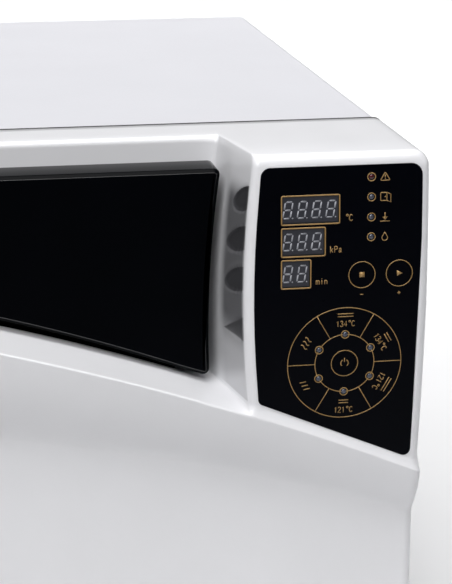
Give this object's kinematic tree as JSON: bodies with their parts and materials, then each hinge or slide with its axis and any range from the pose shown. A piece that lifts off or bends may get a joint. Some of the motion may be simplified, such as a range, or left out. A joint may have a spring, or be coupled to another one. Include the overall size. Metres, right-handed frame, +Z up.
{
  "type": "benchtop autoclave",
  "caption": "Benchtop steam steriliser with a swinging moulded front, wing-shaped pull handle, control block and a horizontal round pressure chamber.",
  "frame": {"origin": "centre of the footprint on the bench surface", "axes": "+Z up, front with the door and controls faces -Y, +X to the right seen from the front"},
  "size_m": [0.385, 0.504, 0.3364],
  "materials": {
    "white_abs": "satin moulded",
    "painted_steel": "fine powder coat",
    "bare_steel": "satin",
    "polished_steel": "electropolished",
    "black_gloss": "high gloss",
    "black_plastic": "moulded",
    "grey_plastic": "moulded",
    "light_plastic": "moulded",
    "rubber": "matt",
    "silicone": "satin",
    "fibre": "glass fibre cloth",
    "heater": "satin",
    "brass": "machined",
    "copper": "drawn",
    "board": "solder resist",
    "lens": "clear",
    "blue_plastic": "moulded"
  },
  "bodies": {
    "case": {"base_pan": "bare_steel", "rubber_feet": "rubber", "front_bulkhead": "bare_steel", "dust_seal": "rubber", "top_cover": "painted_steel", "rear_panel": "painted_steel", "lower_panel": "white_abs", "chamber_vessel": "polished_steel", "insulation_jacket": "fibre", "heater_bands": "heater", "tray_rack": "bare_steel", "lower_tray": "polished_steel", "upper_tray": "polished_steel", "steam_generator": "polished_steel", "water_tank": "light_plastic", "filler_hinge": "bare_steel", "vacuum_pump": "black_plastic", "water_pump": "grey_plastic", "condenser": "copper", "fan_frame": "black_plastic", "solenoid_valves": "brass", "safety_valve": "brass", "pipes": "copper", "power_board": "board", "mains_inlet": "black_plastic", "fuse_holders": "black_plastic", "switch_bezel": "black_plastic", "drain_bodies": "bare_steel", "air_filter": "light_plastic", "door_switch": "black_plastic", "body_hinge_leaves": "bare_steel", "hinge_pins": "bare_steel", "lock_guides": "bare_steel", "lock_motor": "grey_plastic", "cover_screws": "bare_steel", "rear_screws": "bare_steel"},
    "filler_lid": {"filler_lid": "light_plastic"},
    "fan_rotor": {"fan_rotor": "black_plastic"},
    "power_rocker": {"power_rocker": "black_plastic"},
    "drain_knob_clean": {"drain_knob_clean": "blue_plastic"},
    "drain_knob_used": {"drain_knob_used": "grey_plastic"},
    "lock_bar": {"lock_bar": "bare_steel"},
    "lock_lever": {"lock_lever": "brass"},
    "door": {"door_front": "white_abs", "door_liner": "painted_steel", "door_beam": "bare_steel", "pressure_plate": "polished_steel", "door_gasket": "silicone", "door_keepers": "bare_steel", "door_hinge_leaves": "bare_steel", "side_strip": "grey_plastic", "control_overlay": "black_gloss", "display_modules": "grey_plastic", "lamps": "lens", "control_board": "board", "handle_pivot": "bare_steel"},
    "handle": {"handle": "black_gloss"},
    "stop_key": {"stop_key": "black_gloss"},
    "start_key": {"start_key": "black_gloss"},
    "program_key": {"program_key": "black_gloss"}
  },
  "joints": [
    {"name": "door_swing", "type": "hinge", "parent": "case", "child": "door", "pos_m": [-0.1875, -0.155, 0.195], "axis": [0, 0, -1], "range_deg": [0, 105]},
    {"name": "handle_pull", "type": "hinge", "parent": "door", "child": "handle", "pos_m": [-0.16, -0.207, 0.29], "axis": [0, 0, -1], "range_deg": [0, 14], "stiffness_Nm_per_rad": 0.5, "springref_deg": -5.73},
    {"name": "lock_lever_turn", "type": "hinge", "parent": "case", "child": "lock_lever", "pos_m": [0.174, -0.1435, 0.15], "axis": [0, -1, 0], "range_deg": [0, 20]},
    {"name": "lock_bar_slide", "type": "slide", "parent": "case", "child": "lock_bar", "axis": [-1, 0, 0], "range_m": [0, 0.01]},
    {"name": "stop_press", "type": "slide", "parent": "door", "child": "stop_key", "axis": [0, 1, 0], "range_m": [0, 0.0008], "stiffness_N_per_m": 300, "springref_m": -0.0005},
    {"name": "start_press", "type": "slide", "parent": "door", "child": "start_key", "axis": [0, 1, 0], "range_m": [0, 0.0008], "stiffness_N_per_m": 300, "springref_m": -0.0005},
    {"name": "program_press", "type": "slide", "parent": "door", "child": "program_key", "axis": [0, 1, 0], "range_m": [0, 0.0008], "stiffness_N_per_m": 300, "springref_m": -0.0005},
    {"name": "filler_lid_open", "type": "hinge", "parent": "case", "child": "filler_lid", "pos_m": [-0.09, 0.2395, 0.3334], "axis": [-1, 0, 0], "range_deg": [0, 110]},
    {"name": "fan_spin", "type": "hinge", "parent": "case", "child": "fan_rotor", "pos_m": [0.12, 0.235, 0.25], "axis": [0, 1, 0], "continuous": true},
    {"name": "power_toggle", "type": "hinge", "parent": "case", "child": "power_rocker", "pos_m": [0.135, -0.222, 0.036], "axis": [1, 0, 0], "range_deg": [0, 14]},
    {"name": "drain_clean_turn", "type": "hinge", "parent": "case", "child": "drain_knob_clean", "pos_m": [-0.14, -0.235, 0.036], "axis": [0, -1, 0], "range_deg": [0, 90]},
    {"name": "drain_used_turn", "type": "hinge", "parent": "case", "child": "drain_knob_used", "pos_m": [-0.1, -0.235, 0.036], "axis": [0, -1, 0], "range_deg": [0, 90]}
  ],
  "couplings": [
    {"joint": "lock_lever_turn", "follows": "lock_bar_slide", "rad_per_m": 34.906}
  ]
}
